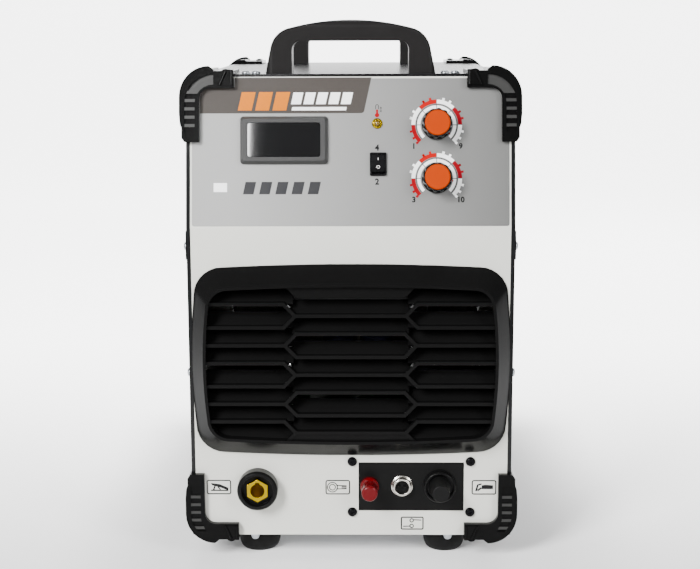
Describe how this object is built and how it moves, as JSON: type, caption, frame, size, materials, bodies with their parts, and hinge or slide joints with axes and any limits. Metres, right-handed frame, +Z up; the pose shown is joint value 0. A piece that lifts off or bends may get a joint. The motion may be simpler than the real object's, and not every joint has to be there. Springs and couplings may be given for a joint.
{
  "type": "plasma cutter power source",
  "caption": "Air plasma cutter power source with a tilted control face, honeycomb front grille, corner guards, two carrying handles and a front connection board.",
  "frame": {"origin": "centre of the footprint, on the floor under the feet", "axes": "+X to the right seen from the front, +Y to the rear, +Z up; the control face looks towards -Y"},
  "size_m": [0.3086, 0.478, 0.4967],
  "materials": {
    "cover_paint": "gloss black powder paint",
    "panel_paint": "light grey powder paint",
    "tray_steel": "galvanised sheet",
    "film": "printed polyester film",
    "black_gloss": "moulded, glossy",
    "black_satin": "moulded, satin",
    "grey_plastic": "moulded, satin",
    "rubber": "matt",
    "zinc": "zinc plated",
    "brass": "turned",
    "orange": "moulded, glossy",
    "red": "moulded, glossy",
    "window": "smoked, clear",
    "amber": "clear, coloured",
    "circuit": "fibreglass board",
    "can": "sleeved aluminium can",
    "aluminium": "extruded",
    "ferrite": "wound core",
    "copper": "enamelled copper wire",
    "hose": "smooth"
  },
  "bodies": {
    "chassis": {"base_tray": "tray_steel", "front_panel": "panel_paint", "control_overlay": "film", "rear_panel": "panel_paint", "cover_shell": "cover_paint", "cover_screws": "zinc", "front_grille": "black_gloss", "front_handle": "black_satin", "rear_handle": "black_satin", "guard_front_top_left": "black_gloss", "guard_front_top_right": "black_gloss", "guard_front_bottom_left": "black_gloss", "guard_front_bottom_right": "black_gloss", "guard_rear_top_left": "black_gloss", "guard_rear_top_right": "black_gloss", "guard_rear_bottom_left": "black_gloss", "guard_rear_bottom_right": "black_gloss", "rubber_feet": "rubber", "base_screws": "zinc", "side_lugs": "cover_paint", "meter_bezel": "grey_plastic", "meter_window": "window", "meter_board": "circuit", "indicator_holder": "brass", "indicator_lens": "amber", "rocker_frame": "black_gloss", "potentiometers": "zinc", "earth_socket_body": "black_satin", "earth_socket_insert": "brass", "terminal_board": "black_satin", "terminal_board_screws": "black_gloss", "pilot_post_base": "red", "pilot_post_stud": "brass", "control_socket_shell": "zinc", "control_socket_insert": "black_satin", "torch_fitting": "brass", "torch_collar": "black_satin", "torch_cap": "rubber", "heat_sinks": "aluminium", "inverter_board": "circuit", "capacitors": "can", "transformer": "ferrite", "output_choke": "copper", "fan_frame": "black_satin", "fan_guard": "zinc", "solenoid_valve": "zinc", "air_hose": "hose", "air_inlet": "brass", "cable_gland": "black_satin", "mains_breaker": "black_satin"},
    "current_control": {"current_knob": "black_satin", "current_knob_cap": "orange", "current_shaft": "zinc"},
    "time_control": {"time_knob": "black_satin", "time_knob_cap": "orange", "time_shaft": "zinc"},
    "rocker": {"rocker_button": "black_gloss"},
    "pilot_cap": {"pilot_post_cap": "red"},
    "fan": {"fan_rotor": "black_satin"},
    "breaker": {"breaker_lever": "black_gloss"}
  },
  "joints": [
    {"name": "current_knob_turn", "type": "hinge", "parent": "chassis", "child": "current_control", "pos_m": [0.0777, -0.20794, 0.40497], "axis": [0, -0.9833, 0.1822], "range_deg": [-9, 261]},
    {"name": "time_knob_turn", "type": "hinge", "parent": "chassis", "child": "time_control", "pos_m": [0.0777, -0.21672, 0.35758], "axis": [0, -0.9833, 0.1822], "range_deg": [-35, 235]},
    {"name": "rocker_swing", "type": "hinge", "parent": "chassis", "child": "rocker", "pos_m": [0.025, -0.20336, 0.36822], "axis": [1, 0, 0], "range_deg": [0, 18]},
    {"name": "pilot_cap_turn", "type": "hinge", "parent": "chassis", "child": "pilot_cap", "pos_m": [0.0171, -0.23, 0.0694], "axis": [0, -1, 0], "range_deg": [0, 720]},
    {"name": "fan_spin", "type": "hinge", "parent": "chassis", "child": "fan", "pos_m": [0, 0.19, 0.212], "axis": [0, 1, 0], "continuous": true},
    {"name": "breaker_swing", "type": "hinge", "parent": "chassis", "child": "breaker", "pos_m": [0.084, 0.211, 0.362], "axis": [1, 0, 0], "range_deg": [0, 48]}
  ]
}
